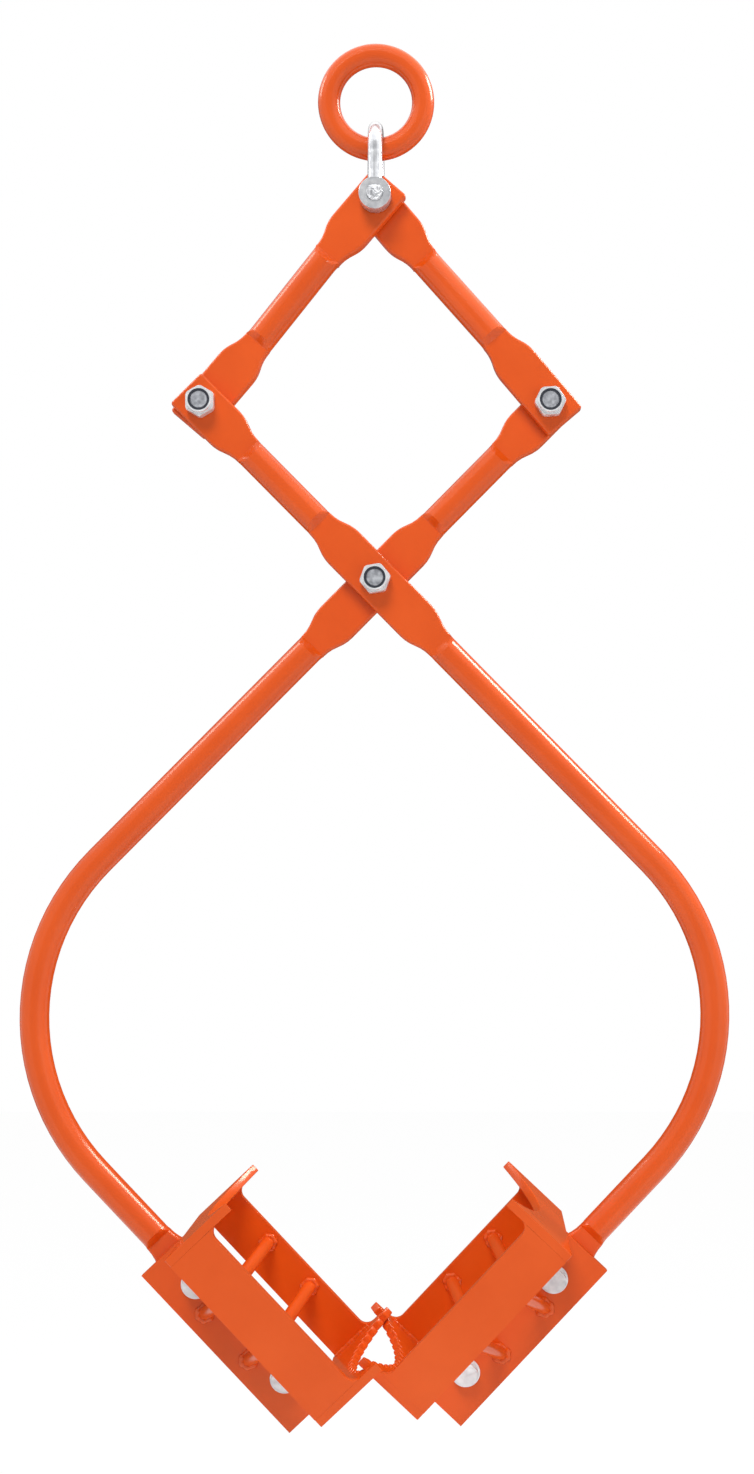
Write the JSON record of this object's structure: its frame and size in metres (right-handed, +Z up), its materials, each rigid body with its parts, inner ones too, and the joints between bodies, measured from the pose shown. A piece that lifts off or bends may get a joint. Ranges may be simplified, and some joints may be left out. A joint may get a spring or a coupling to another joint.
{
  "type": "lifting tongs",
  "caption": "Scissor lifting tongs hung from a ring and shackle: crossed bent bar arms, a linkage above and toothed box jaws that close under load.",
  "frame": {"origin": "centre of the lifting ring's eye", "axes": "+Z up along the hanging line, +X across the opening of the jaws, -Y the front, where the lock nuts are"},
  "size_m": [0.4156, 0.154, 0.8086],
  "materials": {
    "orange_paint": "glossy powder coat",
    "zinc": "bright zinc plated",
    "insert": "matte"
  },
  "bodies": {
    "ring": {"lifting_ring": "orange_paint"},
    "shackle": {"shackle_bow": "zinc", "shackle_pin": "zinc"},
    "left_link": {"left_link": "orange_paint", "left_joint_bolt": "zinc", "left_joint_nut": "zinc", "left_joint_nut_insert": "insert"},
    "right_link": {"right_link": "orange_paint", "right_joint_bolt": "zinc", "right_joint_nut": "zinc", "right_joint_nut_insert": "insert"},
    "right_jaw_arm": {"right_jaw_arm": "orange_paint", "centre_bolt": "zinc", "centre_nut": "zinc", "centre_nut_insert": "insert", "right_jaw_mounting_plate": "orange_paint", "right_jaw_upper_end_plate": "orange_paint", "right_jaw_lower_tooth_plate": "orange_paint", "right_jaw_front_side_plate": "orange_paint", "right_jaw_back_side_plate": "orange_paint", "right_jaw_front_upper_brace": "orange_paint", "right_jaw_front_lower_brace": "orange_paint", "right_jaw_back_upper_brace": "orange_paint", "right_jaw_back_lower_brace": "orange_paint", "right_jaw_upper_bolt": "zinc", "right_jaw_upper_washer": "zinc", "right_jaw_upper_nut": "zinc", "right_jaw_lower_bolt": "zinc", "right_jaw_lower_washer": "zinc", "right_jaw_lower_nut": "zinc"},
    "left_jaw_arm": {"left_jaw_arm": "orange_paint", "left_jaw_mounting_plate": "orange_paint", "left_jaw_upper_end_plate": "orange_paint", "left_jaw_lower_tooth_plate": "orange_paint", "left_jaw_front_side_plate": "orange_paint", "left_jaw_back_side_plate": "orange_paint", "left_jaw_front_upper_brace": "orange_paint", "left_jaw_front_lower_brace": "orange_paint", "left_jaw_back_upper_brace": "orange_paint", "left_jaw_back_lower_brace": "orange_paint", "left_jaw_upper_bolt": "zinc", "left_jaw_upper_washer": "zinc", "left_jaw_upper_nut": "zinc", "left_jaw_lower_bolt": "zinc", "left_jaw_lower_washer": "zinc", "left_jaw_lower_nut": "zinc"}
  },
  "joints": [
    {"name": "shackle_swing", "type": "hinge", "parent": "ring", "child": "shackle", "pos_m": [0, 0, -0.0275], "axis": [1, 0, 0], "range_deg": [-40, 40]},
    {"name": "left_link_turn", "type": "hinge", "parent": "shackle", "child": "left_link", "pos_m": [0, 0, -0.0582], "axis": [0, 1, 0], "range_deg": [0, 18]},
    {"name": "right_link_turn", "type": "hinge", "parent": "shackle", "child": "right_link", "pos_m": [0, 0, -0.0582], "axis": [0, -1, 0], "range_deg": [0, 18]},
    {"name": "right_jaw_arm_turn", "type": "hinge", "parent": "left_link", "child": "right_jaw_arm", "pos_m": [-0.1015, 0, -0.17732], "axis": [0, -1, 0], "range_deg": [0, 40.27]},
    {"name": "left_jaw_arm_turn", "type": "hinge", "parent": "right_link", "child": "left_jaw_arm", "pos_m": [0.1015, 0, -0.17732], "axis": [0, 1, 0], "range_deg": [0, 40.27]}
  ],
  "couplings": [
    {"joint": "right_link_turn", "follows": "left_link_turn", "ratio": 1},
    {"joint": "right_jaw_arm_turn", "follows": "left_link_turn", "ratio": 2.2375},
    {"joint": "left_jaw_arm_turn", "follows": "left_link_turn", "ratio": 2.2375}
  ]
}
